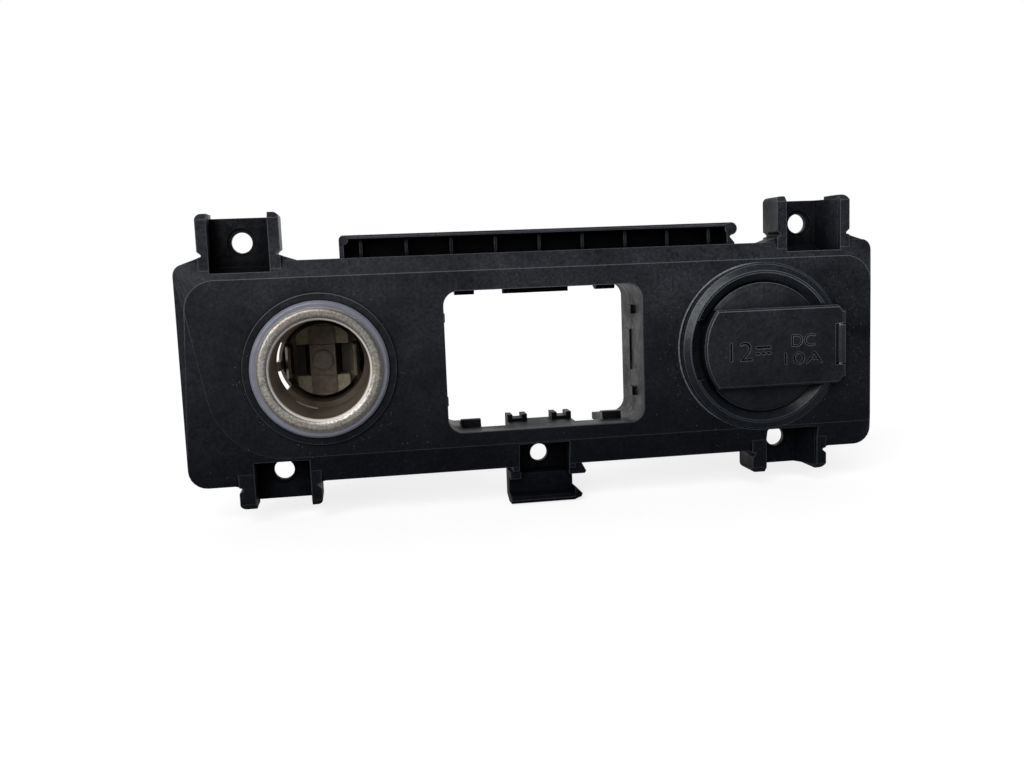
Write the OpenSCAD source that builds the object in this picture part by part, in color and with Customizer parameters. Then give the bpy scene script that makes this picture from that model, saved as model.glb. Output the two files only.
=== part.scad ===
// Console socket panel: a moulded carrier with an illuminated lighter socket,
// a module opening and a 12 V outlet under a hinged lid.
// X runs to the viewer's right, Z up, and the face looks towards -Y.
// The origin lies on the lighter socket's axis, in the plane of the panel's face.

/* [Panel] */
// Width of the panel, without the tabs
panel_w = 154.8; // [145:0.1:165]
// Height of the panel, without the tabs
panel_h = 47.6; // [46.5:0.1:54]
// Wall of the moulding
panel_wall = 2.2; // [1.8:0.1:2.6]
// Depth from the face to the back edge of the rim
panel_depth = 6.2; // [5.6:0.1:9]
// How far the border falls back from the face to the outline
border_drop = 1.6; // [0.8:0.1:2]
// Width of the sloping border along the top
border_top = 3.6; // [3:0.1:5]
// Width of the sloping border along the bottom
border_bottom = 5.7; // [4.6:0.1:6]
// Width of the sloping border at the left
border_left = 2.0; // [1:0.1:4]
// Width of the sloping border at the right
border_right = 0.8; // [0.6:0.1:2]
// Corner radius of the face
face_corner_r = 6.2; // [3:0.1:9]
// Radius of the large sweep at the face's lower left
face_sweep_r = 16.2; // [10:0.1:20]
// Corner radius of the outline at the top
corner_r_top = 2.4; // [1:0.1:4]
// Corner radius of the outline at the bottom
corner_r_bottom = 4.0; // [2:0.1:6]
// Distance from the panel's left edge to the lighter socket's axis
socket_inset = 28.9; // [26:0.1:34]
// Height of the lighter socket's axis above the panel's middle
socket_rise = 0.65; // [0:0.05:1.2]
// Distance between the axes of the two sockets
socket_pitch = 98.9; // [97:0.1:104]
// How far the outlet's axis lies below the lighter socket's
outlet_drop = 0.3; // [0:0.1:0.8]
// Thickness of the ribs and collars behind the face
rib_t = 1.5; // [1:0.1:2]

/* [Module opening] */
// Width of the opening
opening_w = 44.1; // [38:0.1:46]
// Height of the opening
opening_h = 30.9; // [26:0.1:33]
// Corner radius of the opening
opening_r = 3.2; // [1.5:0.1:5]
// Distance from the lighter socket's axis to the middle of the opening
opening_x = 48.85; // [47.5:0.05:50]
// How far the opening's middle lies below the lighter socket's axis
opening_drop = 0.2; // [0:0.05:0.6]
// Wall of the frame behind the opening
frame_wall = 1.6; // [1.2:0.1:2]
// Depth of the frame behind the face
frame_depth = 18; // [15.6:0.1:24]
// Depth left of the frame's lower wall at its two notches
notch_depth = 6.6; // [6.2:0.1:9]
// Width of each of the two notches in the lower wall
notch_w = 6.6; // [3:0.1:7]
// Depth of the tongue between the two notches
tongue_depth = 15; // [13.4:0.1:15.4]
// Width of an end clip
clip_w = 4.4; // [3:0.1:5]
// Distance from the opening's middle to the middle of an end clip
clip_offset = 16.3; // [15.8:0.1:17]
// Height of a clip or hook above the wall it stands on
clip_rise = 1.6; // [1:0.1:2.2]
// Width of the long ledge in the upper wall
ledge_w = 15; // [8:0.1:18]
// Width of a hook on the tongue
hook_w = 4.6; // [3:0.1:5]
// Length of the guide pad on each side wall
guide_l = 9.4; // [6:0.1:16]
// Distance from the opening's middle to a stop block on the side walls
stop_offset = 9.4; // [8:0.1:11]

/* [Screw tabs] */
// Diameter of the four corner screw holes
tab_hole_d = 4.4; // [3.5:0.1:5]
// Diameter of the hole in the middle tab
middle_hole_d = 4.0; // [3.5:0.1:5]
// Distance from the lighter socket's axis to the middle of the screw pattern
tab_middle_x = 47.8; // [47:0.1:48.5]
// Distance between the two upper holes
upper_pitch = 125.7; // [121:0.1:127]
// Distance between the two lower corner holes
lower_pitch = 114.3; // [110:0.1:116]
// Height of the upper holes above the panel's top edge
upper_hole_rise = 4.1; // [3:0.1:5]
// Height of the lower holes above the panel's bottom edge
lower_hole_rise = 1.9; // [1.4:0.1:2.4]
// Depth from the face to the seat the screw head lands on
seat_depth = 7.2; // [6.6:0.1:9]
// Thickness of the seat plate
seat_t = 1.8; // [1.5:0.1:2.5]
// Reach of the upper wings above the panel's top edge
upper_reach = 10.2; // [8:0.1:12]
// Reach of the lower wings below the panel's bottom edge
lower_reach = 5.2; // [4.2:0.1:7]
// Thickness of a wing
wing_t = 2.3; // [1.6:0.1:2.8]
// Thickness of the wide wing at the left of each lower corner tab
wide_wing_t = 3.4; // [2.4:0.1:3.8]
// How far the wings' front edges lie behind the face
wing_setback = 0.9; // [0.4:0.1:2]

/* [Top rail] */
// Distance from the lighter socket's axis to the rail's left end
rail_x = 5.4; // [2:0.1:10]
// Length of the rail
rail_l = 87.2; // [75:0.1:90]
// Height of the rail above the panel's top edge
rail_h = 4.8; // [3.5:0.1:6]
// Thickness of the rail's lip and back wall
rail_wall = 1.0; // [0.8:0.1:1.4]
// Distance between the rail's ribs
rail_pitch = 9.7; // [6:0.1:12]
// Number of ribs
rail_ribs = 9; // [3:1:9]
// Thickness of a rail rib
rail_rib_t = 0.7; // [0.6:0.1:1.4]

/* [Middle clip] */
// Width of the clip below the middle tab
foot_w = 14.6; // [12:0.1:16]
// Reach of the clip below the panel's bottom edge
foot_reach = 8.6; // [7:0.1:11]
// Reach of the curled lip in front of the clip
foot_lip = 3.4; // [2:0.1:4.5]

/* [Lighter socket] */
// Bore of the socket
bore_d = 21; // [20.9:0.01:21.1]
// Thickness of the shell's sheet metal
sheet_t = 0.8; // [0.6:0.05:1]
// Depth of the full bore behind the face
bore_depth = 17; // [15:0.1:20]
// Bore of the shell's narrow end
narrow_d = 19; // [18.4:0.1:20.4]
// Depth of the shell's floor behind the face
floor_depth = 30; // [28:0.1:36]
// Outer diameter of the rolled flange
flange_d = 26.6; // [25.4:0.1:27.4]
// Outer diameter of the light ring
light_ring_d = 29.2; // [28:0.1:31]
// Thickness of the light ring's flange
light_ring_t = 1.0; // [0.8:0.1:1.6]
// Wall of the light ring's sleeve
sleeve_wall = 1.2; // [1:0.1:1.5]
// Diameter of the raised pad around the socket
pad_d = 32.4; // [31.4:0.1:34]
// Height of the raised pad
pad_h = 0.5; // [0.3:0.1:0.8]
// Depth of the collars behind the face
collar_depth = 9.5; // [8:0.1:14]

/* [Contacts] */
// Width of the clip's centre plate and of the strap across it
arm_w = 5.9; // [4.5:0.1:7]
// Height of the centre plate and of the fingers
finger_w = 7.1; // [5:0.1:8]
// Thickness of the contact clips
clip_t = 0.6; // [0.4:0.1:0.8]
// Length of a gripping finger towards the mouth
finger_l = 4.2; // [2:0.1:5]
// Diameter of the contact rivet's head
rivet_head_d = 5.0; // [4:0.1:5.6]
// Diameter of the rivet's shank
rivet_d = 2.8; // [2:0.1:3.2]
// Thickness of the insulating disc
disc_t = 1.2; // [0.8:0.1:2]
// Height of the insulator's raised plate under the contact clip
boss_h = 6.1; // [4:0.1:7]
// Width of the raised plate
plate_w = 12; // [10:0.1:14]

/* [Connectors] */
// Width of a connector shroud
shroud_w = 15.4; // [14:0.1:17]
// Height of a connector shroud
shroud_h = 12.4; // [11.6:0.1:14]
// Depth of a connector shroud
shroud_l = 13; // [10:0.1:18]
// Wall of a connector shroud
shroud_wall = 1.3; // [1:0.1:1.5]
// Width of a terminal blade
blade_w = 6.3; // [4.8:0.1:6.3]
// Thickness of a terminal blade
blade_t = 0.8; // [0.6:0.1:1]
// Distance between the two blades
blade_pitch = 6.4; // [6:0.1:6.6]
// Thickness of a connector's base
base_t = 2.2; // [1.8:0.1:3]

/* [Lamp] */
// Outer diameter of the lamp tube
lamp_tube_d = 7.6; // [7:0.1:9]
// Diameter of the bulb
bulb_d = 4.4; // [3.5:0.1:5]
// Length of the bulb
bulb_l = 9; // [7:0.1:10]

/* [Outlet] */
// Outer diameter of the bezel
bezel_d = 37.6; // [36.8:0.1:38]
// How far the bezel's rim stands in front of the face
rim_rise = 0.8; // [0.5:0.1:1]
// Radius of the rim's crest
crest_r = 17; // [16.6:0.1:17.6]
// Depth of the bezel's dish behind the face
dish_depth = 2.6; // [2.2:0.1:3]
// Thickness of the bezel under the dish
bezel_t = 2.0; // [1.6:0.1:2.4]
// Height of the finger notch at the bezel's left
notch_h = 13.4; // [9:0.1:15]

/* [Lid] */
// Diameter of the lid's disc
disc_d = 29.2; // [28.6:0.1:30]
// Height of the band across the lid
band_h = 17.8; // [16.6:0.1:19]
// How far the band's face stands in front of the panel's face
band_rise = 2.9; // [2.8:0.1:3.4]
// Thickness of the disc
lid_t = 1.7; // [1.5:0.1:1.9]
// Diameter of the plug ring behind the disc
plug_d = 19.2; // [17:0.1:19.4]
// How far the plug ring stops short of the socket's straight bore
plug_stop = 0.2; // [0.2:0.1:0.6]
// Distance from the outlet's axis to the hinge pin
hinge_x = 17.9; // [17.7:0.1:18.1]
// Radius of the hinge barrel
barrel_r = 1.3; // [1.2:0.05:1.4]
// Diameter of the hinge pin
pin_d = 1.2; // [1:0.1:1.3]
// Width of the bezel's hinge knuckle
knuckle_w = 8.7; // [7:0.1:9.5]
// Length of the hinge pin
pin_l = 13.6; // [12.4:0.1:14]

/* [Clearances] */
// Gap between pieces that are fitted together
fit_gap = 0.15; // [0.1:0.01:0.25]
// Gap around the moving lid
lid_gap = 0.3; // [0.3:0.01:0.4]
// Radial gap of the hinge pin in the lid
pin_gap = 0.05; // [0.02:0.01:0.09]

/* [Hidden] */
$fn = 96;
e = 0.01;

// Panel edges, seen from the lighter socket's axis
left = -socket_inset;
right = left + panel_w;
middle_z = -socket_rise;
top = middle_z + panel_h / 2;
bottom = middle_z - panel_h / 2;
face_left = left + border_left;
face_right = right - border_right;
face_top = top - border_top;
face_bottom = bottom + border_bottom;
face_lower_r = 1;
sweep_angle = 10;

// Opening
opening_z = -opening_drop;
guide_front = frame_depth - 8;
guide_back = frame_depth - 3;
guide_rise = 0.35;
stop_w = 2;
stop_rise = 0.8;
clip_ramp = 6;
back_rib_z = 7;

// Tabs
seat_back = seat_depth + seat_t;
upper_hole_z = top + upper_hole_rise;
lower_hole_z = bottom + lower_hole_rise;
upper_left_x = tab_middle_x - upper_pitch / 2;
upper_right_x = tab_middle_x + upper_pitch / 2;
lower_left_x = tab_middle_x - lower_pitch / 2;
lower_right_x = tab_middle_x + lower_pitch / 2;
upper_recess = top - 2.2;
lower_recess = lower_hole_z + tab_hole_d / 2 + 0.9;
middle_recess = lower_hole_z + middle_hole_d / 2 + 1.4;
counterbore_rim = 0.8;
counterbore_depth = 0.4;
seat_fillet = 1.2;
wing_chamfer = 1.2;
wing_round = 1.2;
waist = 0.8;
upper_shoulder = 1.1;
lower_shoulder = 0.2;
// Inner walls of each tab, left and right of its hole
upper_left_span = [upper_left_x - 6.3, upper_left_x + 6.0];
upper_right_span = [upper_right_x - 5.4, upper_right_x + 7.4];
lower_left_span = [lower_left_x - 5.8, lower_left_x + 5.9];
lower_right_span = [lower_right_x - 4.9, lower_right_x + 7.4];
middle_span = [tab_middle_x - 5.5, tab_middle_x + 5.8];
// How far the seat's right wall slopes in, at the two right tabs
upper_slope = 3.4;
lower_slope = 3.0;
// Where the middle clip's front body starts, below the panel's edge
foot_start = 1.4;

// Sockets
bore_r = bore_d / 2;
shell_r = bore_r + sheet_t;
narrow_r = narrow_d / 2;
sleeve_in = shell_r + fit_gap;
sleeve_out = sleeve_in + sleeve_wall;
hole_r = sleeve_out + fit_gap;
collar_r = hole_r + rib_t;
light_front = -pad_h - light_ring_t;
sleeve_end = bore_depth + 1;
disc_front = floor_depth - disc_t;
clip_front = disc_front - boss_h - 2 * clip_t;
floor_back = floor_depth + sheet_t;
base_back = floor_back + base_t;
floor_hole_r = rivet_d / 2 + 1.4;
head_t = 0.8;
tail_t = 0.9;
tail_r = rivet_d / 2 + 0.6;
centre_half = arm_w / 2 - clip_t - 2 * fit_gap;
ground_foot = 3;
// Two windows side by side through the shell's shoulder and the start of its narrow end
window_middle = 184;
window_gap = 12.4;
window_span = 26;
window_l = 7.8;
lamp_x = sleeve_out + fit_gap + lamp_tube_d / 2 + 1;
lamp_front = collar_depth + 1;
saddle_l = 7;

// Outlet
outlet_z = -outlet_drop;
bezel_r = bezel_d / 2;
bezel_back = dish_depth + bezel_t;
pocket_r = bezel_r + fit_gap;
disc_r = disc_d / 2;
dish_r = max(disc_r + 1.2 * lid_gap, flange_d / 2 + fit_gap);
dish_lip = 0.5;
outlet_shift = dish_depth - light_front;

// Lid
hinge_y = barrel_r - band_rise;
lid_front = -0.7;
lid_back = lid_front + lid_t;
plug_end = dish_depth - plug_stop;
disc_bevel_w = 1.4;
disc_bevel_h = 0.5;
band_back = -rim_rise - lid_gap;
band_half = band_h / 2;
window_half = knuckle_w / 2 + lid_gap;
pin_hole_r = pin_d / 2 + pin_gap;
pin_hole_half = pin_l / 2 + 0.15;
barrel_half = pin_hole_half + 0.5;
bevel = 0.45;

// Solid of a drawing in X and Z, from depth y0 to y1.
module along_y(y0, y1) {
    translate([0, y1, 0])
    rotate([90, 0, 0])
    linear_extrude(y1 - y0)
    children();
}

// Solid of a drawing in Y and Z, from x0 to x1.
module along_x(x0, x1) {
    translate([x0, 0, 0])
    rotate([90, 0, 90])
    linear_extrude(x1 - x0)
    children();
}

// Solid of a drawing in X and Y, from z0 to z1.
module along_z(z0, z1) {
    translate([0, 0, z0])
    linear_extrude(z1 - z0)
    children();
}

// Turned solid about the Y direction: points give radius and depth.
module turned(points) {
    rotate([-90, 0, 0])
    rotate_extrude()
    polygon(points);
}

module disc_y(r, y0, y1) {
    turned([[0, y0], [r, y0], [r, y1], [0, y1]]);
}

module tube_y(r_in, r_out, y0, y1) {
    turned([[r_in, y0], [r_out, y0], [r_out, y1], [r_in, y1]]);
}

module block(x0, x1, y0, y1, z0, z1) {
    translate([x0, y0, z0])
    cube([x1 - x0, y1 - y0, z1 - z0]);
}

module rounded_box(w, h, r) {
    square([w - 2 * r, h], center = true);
    square([w, h - 2 * r], center = true);
    for (sx = [-1, 1], sz = [-1, 1])
        translate([sx * (w / 2 - r), sz * (h / 2 - r)])
        circle(r);
}

// Points of an arc about a centre, from angle a0 to a1.
function arc(cx, cz, r, a0, a1, steps = 8) = [
    for (i = [0:steps])
        let (a = a0 + (a1 - a0) * i / steps)
        [cx + r * cos(a), cz + r * sin(a)]
];

// Outline of the panel, moved in by an inset.
function panel_points(inset = 0) =
    let (l = left + inset, r = right - inset, t = top - inset, b = bottom + inset)
    let (rt = max(corner_r_top - inset, 0.3), rb = max(corner_r_bottom - inset, 0.3))
    concat(
        arc(r - rt, t - rt, rt, 0, 90, 5),
        arc(l + rt, t - rt, rt, 90, 180, 5),
        arc(l + rb, b + rb, rb, 180, 270, 6),
        arc(r - rb, b + rb, rb, 270, 360, 6)
    );

// Outline of the flat face: its lower left is one large sweep that leans over to the left edge.
function face_points(inset = 0) =
    let (l = face_left + inset, r = face_right - inset, t = face_top - inset, b = face_bottom + inset)
    let (rc = face_corner_r - inset, rs = face_sweep_r - inset)
    let (lean = (t - rc - (b + rs)) * tan(sweep_angle))
    let (cx = l + rs * cos(sweep_angle) + lean + rs * sin(sweep_angle) * tan(sweep_angle))
    concat(
        arc(r - rc, t - rc, rc, 0, 90),
        arc(l + rc, t - rc, rc, 90, 180),
        arc(cx, b + rs, rs, 180 + sweep_angle, 270, 10),
        arc(r - face_lower_r, b + face_lower_r, face_lower_r, 270, 360, 3)
    );

// The dished shell: a flat face whose border slopes back to the outline, and a rim behind it.
module shell_form(inset, y0) {
    hull() {
        along_y(y0, y0 + e) polygon(face_points(inset));
        along_y(y0 + border_drop, y0 + border_drop + e) polygon(panel_points(inset));
    }
    along_y(y0 + border_drop, panel_depth + (inset > 0 ? 1 : 0)) polygon(panel_points(inset));
}

module panel_shell() {
    difference() {
        shell_form(0, 0);
        shell_form(panel_wall, panel_wall);
    }
}

// Shoulder of the outline where a tab leaves it; side is 1 at the top and -1 at the bottom.
module tab_shoulder(x0, x1, edge, side, rise, slope) {
    along_y(border_drop, panel_depth)
    polygon([
        [x0 - slope, edge - side * panel_wall],
        [x0 - slope, edge],
        [x0, edge + side * rise],
        [x1, edge + side * rise],
        [x1 + slope, edge],
        [x1 + slope, edge - side * panel_wall]
    ]);
}

// Side wall of a tab, between its inner and outer faces: a chamfered front edge, a rounded
// outer corner at the tip and a waist just beyond the shoulder.
module wing(x_in, x_out, root, edge, tip, side, rise) {
    outer = sign(x_out - x_in);
    foot = edge + side * rise;
    intersection() {
        along_x(min(x_in, x_out), max(x_in, x_out))
        polygon([
            [wing_setback, root],
            [wing_setback, tip - side * wing_chamfer],
            [wing_setback + wing_chamfer, tip],
            [seat_back, tip],
            [seat_back, root]
        ]);
        along_y(0, seat_back + 1)
        polygon(concat(
            [
                [x_in, tip],
                [x_in, root],
                [x_out, root],
                [x_out, foot],
                [x_out - outer * waist, foot + side * 0.3],
                [x_out - outer * waist, foot + side * 0.6],
                [x_out, foot + side * 1.3]
            ],
            [for (t = [0:15:90])
                [x_out - outer * wing_round * (1 - cos(t)), tip - side * wing_round * (1 - sin(t))]]
        ));
    }
}

// Open-fronted tab: two wings, a back plate for the screw and a closing wall towards the panel.
module screw_tab(span, left_t, recess, edge, reach, side, rise, slope) {
    x0 = span[0];
    x1 = span[1];
    tip = edge + side * reach;
    seat_tip = tip - side * 0.9;
    root = recess - side * rib_t;
    tab_shoulder(x0 - left_t, x1 + wing_t, edge, side, rise, slope);
    along_x(x0 - e, x1 + e)
    polygon([
        [border_drop + 0.5, recess],
        [border_drop + 0.5, root],
        [seat_back, root],
        [seat_back, seat_tip],
        [wing_setback + 1, seat_tip],
        [wing_setback + 1, recess]
    ]);
    wing(x0, x0 - left_t, root, edge, tip, side, rise);
    wing(x1, x1 + wing_t, root, edge, tip, side, rise);
}

// Channel that leads a screw to its seat: open to the front and at the tip, with a fillet
// at the recess wall and, on the right tabs, a right wall that slopes in towards the seat.
module tab_channel(span, recess, z_out, side, slope) {
    intersection() {
        along_x(span[0], span[1])
        polygon([
            [-2, recess],
            [seat_depth - seat_fillet, recess],
            [seat_depth, recess + side * seat_fillet],
            [seat_depth, z_out],
            [-2, z_out]
        ]);
        along_z(min(recess, z_out), max(recess, z_out))
        polygon([
            [span[0], -2],
            [span[1], -2],
            [span[1], wing_setback + 1],
            [span[1] - slope, seat_depth],
            [span[0], seat_depth]
        ]);
    }
}

// Screw hole with a shallow counterbore in the seat.
module tab_hole(x, z, d) {
    translate([x, 0, z]) {
        disc_y(d / 2, seat_depth - 1, seat_back + 1);
        disc_y(d / 2 + counterbore_rim, seat_depth - 1, seat_depth + counterbore_depth);
    }
}

module upper_tabs() {
    screw_tab(upper_left_span, wing_t, upper_recess, top, upper_reach, 1, upper_shoulder, 3.2);
    screw_tab(upper_right_span, wing_t, upper_recess, top, upper_reach, 1, upper_shoulder, 3.2);
}

module lower_tabs() {
    screw_tab(lower_left_span, wide_wing_t, lower_recess, bottom, lower_reach, -1, lower_shoulder, 0.8);
    screw_tab(lower_right_span, wide_wing_t, lower_recess, bottom, lower_reach, -1, lower_shoulder, 0.8);
}

module tab_channels() {
    z_high = top + upper_reach + 2;
    z_low = bottom - lower_reach - 2;
    tab_channel(upper_left_span, upper_recess, z_high, 1, 0);
    tab_channel(upper_right_span, upper_recess, z_high, 1, upper_slope);
    tab_channel(lower_left_span, lower_recess, z_low, -1, 0);
    tab_channel(lower_right_span, lower_recess, z_low, -1, lower_slope);
    tab_channel(middle_span, middle_recess, bottom - foot_start, -1, 0);
}

module tab_holes() {
    tab_hole(upper_left_x, upper_hole_z, tab_hole_d);
    tab_hole(upper_right_x, upper_hole_z, tab_hole_d);
    tab_hole(lower_left_x, lower_hole_z, tab_hole_d);
    tab_hole(lower_right_x, lower_hole_z, tab_hole_d);
    tab_hole(tab_middle_x, lower_hole_z, middle_hole_d);
}

// Middle tab: a seat plate that runs down into a snap clip with a curled lip.
module middle_tab() {
    x0 = middle_span[0];
    x1 = middle_span[1];
    foot_x0 = tab_middle_x - foot_w / 2 - 0.2;
    foot_x1 = foot_x0 + foot_w;
    foot_z = bottom - foot_reach;
    along_x(x0 - rib_t, x1 + rib_t)
    polygon([
        [border_drop + 0.5, middle_recess],
        [border_drop + 0.5, middle_recess + rib_t],
        [seat_back, middle_recess + rib_t],
        [seat_back, bottom - 1],
        [seat_depth, bottom - 1],
        [seat_depth, middle_recess]
    ]);
    for (x = [x0 - rib_t, x1])
        block(x, x + rib_t, border_drop, seat_back, bottom - 1, middle_recess + rib_t);
    along_x(foot_x0, foot_x1)
    polygon([
        [seat_back, bottom + 0.5],
        [seat_depth, bottom + 0.5],
        [seat_depth, bottom - foot_start],
        [seat_depth - 2.2, bottom - 2.2],
        [seat_depth - 2.2, foot_z + 2.2],
        [seat_depth - 2.2 - foot_lip + 1, foot_z + 1.5],
        [seat_depth - 2.2 - foot_lip, foot_z + 0.9],
        [seat_depth - 2.2 - foot_lip + 0.4, foot_z + 0.2],
        [seat_depth - 1.4, foot_z],
        [seat_back, foot_z + 1.2]
    ]);
    // Ledge at the left and locating wedge at the right, both just below the outline
    block(foot_x0, foot_x0 + 2.4, wing_setback + 1.5, seat_back, bottom - 2.9, bottom - 1.3);
    along_y(wing_setback + 1.2, seat_depth)
    polygon([
        [x1, bottom + 1],
        [x1 + 2.4, bottom + 1],
        [x1 + 4, bottom - 2],
        [x1 + 3.6, bottom - 2.5],
        [x1, bottom - 2.5]
    ]);
    // Hooked right end of the curled lip
    along_y(seat_depth - 2.2 - foot_lip + 0.4, seat_back - 0.6)
    polygon([
        [foot_x1 - e, foot_z + 3.2],
        [foot_x1 + 0.5, foot_z + 2.6],
        [foot_x1 + 1.7, foot_z + 1.5],
        [foot_x1 + 1.4, foot_z + 0.8],
        [foot_x1 - e, foot_z + 0.3]
    ]);
}

// Top rail: a channel open to the front, divided by thin ribs and closed by a hooked end.
module top_rail() {
    rail_front = border_drop + 0.3;
    rail_back = seat_back - 1.2;
    rail_top = top + rail_h;
    rail_end = rail_x + rail_l;
    first_rib = rail_x + 4.6;
    along_x(rail_x + 0.8, rail_end)
    polygon([
        [rail_front, rail_top - rail_wall + 0.2],
        [rail_front, rail_top - 0.4],
        [rail_front + 0.4, rail_top],
        [rail_back, rail_top],
        [rail_back, top - panel_wall],
        [rail_front, top - panel_wall],
        [rail_front, top + 0.02],
        [rail_back - rail_wall, top + 0.02],
        [rail_back - rail_wall, rail_top - rail_wall],
        [rail_front + 0.6, rail_top - rail_wall]
    ]);
    for (i = [0:rail_ribs - 1])
        if (first_rib + i * rail_pitch < rail_end - 1.5)
            block(first_rib + i * rail_pitch - rail_rib_t / 2, first_rib + i * rail_pitch + rail_rib_t / 2,
                rail_front + 1.4, rail_back - rail_wall + e, top - 0.5, rail_top - rail_wall + e);
    along_y(rail_front, rail_back)
    union() {
        translate([rail_x, top - panel_wall])
        square([1, rail_h + panel_wall - 1]);
        translate([rail_x + 1, rail_top - 1])
        circle(1);
        translate([rail_end - 0.2, rail_top - 1.4])
        circle(1.4);
        polygon([
            [rail_end - 1.2, rail_top - 1.5],
            [rail_end, rail_top - 2.6],
            [rail_end - 0.5, top + 1.6],
            [rail_end + 0.6, top + 0.3],
            [rail_end + 0.6, top - panel_wall],
            [rail_end - 1.2, top - panel_wall]
        ]);
    }
}

// Frame behind the opening, with its notches, clips, hooks and ledge.
module opening_frame() {
    outer_w = opening_w + 2 * frame_wall;
    outer_h = opening_h + 2 * frame_wall;
    translate([opening_x, 0, opening_z])
    difference() {
        along_y(panel_wall - e, frame_depth) rounded_box(outer_w, outer_h, opening_r + frame_wall);
        for (s = [-1, 1]) {
            notch_x = s * (clip_offset - clip_w / 2 - notch_w / 2);
            block(notch_x - notch_w / 2, notch_x + notch_w / 2,
                notch_depth, frame_depth + 1, -outer_h / 2 - 1, -opening_h / 2 + 2);
        }
        block(-clip_offset + clip_w / 2 + notch_w - e, clip_offset - clip_w / 2 - notch_w + e,
            tongue_depth, frame_depth + 1, -outer_h / 2 - 1, -opening_h / 2 + 2);
        for (s = [-1, 1])
            block(s * (ledge_w / 2 + 2.4) - 2.4, s * (ledge_w / 2 + 2.4) + 2.4,
                notch_depth, frame_depth + 1, opening_h / 2 - 2, outer_h / 2 + 1);
    }
}

module opening_clips() {
    z_low = opening_z - opening_h / 2;
    z_high = opening_z + opening_h / 2;
    ramp_y = notch_depth + 0.6;
    for (s = [-1, 1]) {
        cx = opening_x + s * clip_offset;
        along_x(cx - clip_w / 2, cx + clip_w / 2)
        polygon([
            [ramp_y, z_low - 0.3],
            [ramp_y + 0.5, z_low + clip_rise],
            [ramp_y + 2.2, z_low + clip_rise],
            [ramp_y + clip_ramp, z_low - 0.3]
        ]);
        along_x(cx - clip_w / 2, cx + clip_w / 2)
        polygon([
            [ramp_y + 2.6, z_high + 0.3],
            [ramp_y + 3.2, z_high - clip_rise + 0.4],
            [ramp_y + 4.8, z_high - clip_rise + 0.4],
            [ramp_y + clip_ramp + 2, z_high + 0.3]
        ]);
        hx = opening_x + s * (clip_offset - clip_w / 2 - notch_w - hook_w / 2);
        block(hx - hook_w / 2, hx + hook_w / 2, tongue_depth - 4, tongue_depth, z_low - 0.3, z_low + 0.7);
        for (k = [-1, 1])
            block(hx + k * (hook_w / 2 - 0.6) - 0.6, hx + k * (hook_w / 2 - 0.6) + 0.6,
                tongue_depth - 4, tongue_depth, z_low, z_low + clip_rise);
    }
    block(opening_x - ledge_w / 2, opening_x + ledge_w / 2,
        ramp_y + 3, ramp_y + 5, z_high - clip_rise + 0.3, z_high + 0.3);
    // A guide pad and two small stop blocks on each side wall
    for (s = [-1, 1]) {
        wall_x = opening_x + s * opening_w / 2;
        block(wall_x - guide_rise, wall_x + guide_rise, guide_front, guide_back,
            opening_z - guide_l / 2, opening_z + guide_l / 2);
        for (k = [-1, 1])
            block(wall_x - stop_rise, wall_x + stop_rise, guide_front - 3, guide_front - 0.4,
                opening_z + k * stop_offset - stop_w / 2, opening_z + k * stop_offset + stop_w / 2);
    }
}

// Collars and cross ribs on the back of the face.
module back_ribs() {
    tube_y(hole_r, collar_r, panel_wall - e, collar_depth);
    translate([socket_pitch, 0, outlet_z])
    tube_y(sleeve_out + fit_gap, pocket_r + rib_t, bezel_back, bezel_back + rib_t);
    translate([socket_pitch, 0, outlet_z])
    tube_y(pocket_r, pocket_r + rib_t, panel_wall / 2, bezel_back + rib_t);
    for (z = [-back_rib_z, back_rib_z]) {
        block(collar_r - 0.8, opening_x - opening_w / 2 - frame_wall + e,
            panel_wall - e, panel_depth, z - rib_t / 2, z + rib_t / 2);
        block(opening_x + opening_w / 2 + frame_wall - e, socket_pitch - pocket_r,
            panel_wall - e, panel_depth, z - rib_t / 2, z + rib_t / 2);
        block(left + panel_wall - e, -collar_r + 0.8,
            panel_wall - e, panel_depth, z - rib_t / 2, z + rib_t / 2);
    }
}

module panel() {
    color("#222427")
    difference() {
        union() {
            panel_shell();
            disc_y(pad_d / 2, -pad_h, panel_wall);
            back_ribs();
            opening_frame();
            upper_tabs();
            lower_tabs();
            middle_tab();
            top_rail();
        }
        tab_channels();
        tab_holes();
        translate([opening_x, 0, opening_z])
        along_y(-1, frame_depth + 1) rounded_box(opening_w, opening_h, opening_r);
        disc_y(hole_r, -pad_h - 1, frame_depth + 1);
        translate([socket_pitch, 0, outlet_z])
        disc_y(pocket_r, -1, bezel_back);
        translate([socket_pitch, 0, outlet_z])
        disc_y(sleeve_out + fit_gap, bezel_back - 1, frame_depth + 1);
    }
    color("#222427")
    opening_clips();
}

// Drawn socket shell: rolled flange, full bore, narrow end and a floor with a centre hole.
module drawn_shell(front, roll_r, end) {
    inner_roll = min(1.1, (roll_r - bore_r) / 2);
    outer_roll = min(0.9, (roll_r - bore_r) / 2);
    turned(concat(
        [[bore_r, front + inner_roll]],
        [for (a = [0:15:90])
            [bore_r + inner_roll - inner_roll * cos(a), front + inner_roll - inner_roll * sin(a)]],
        [for (a = [90:-15:0])
            [roll_r - outer_roll + outer_roll * cos(a), front + outer_roll - outer_roll * sin(a)]],
        [
            [roll_r, end],
            [shell_r, end],
            [shell_r, bore_depth],
            [narrow_r + sheet_t, bore_depth + 1],
            [narrow_r + sheet_t, floor_back - 0.6],
            [narrow_r + sheet_t - 0.6, floor_back],
            [floor_hole_r, floor_back],
            [floor_hole_r, floor_depth],
            [narrow_r - 0.6, floor_depth],
            [narrow_r, floor_depth - 0.6],
            [narrow_r, bore_depth + 1],
            [bore_r, bore_depth]
        ]
    ));
}

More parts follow.
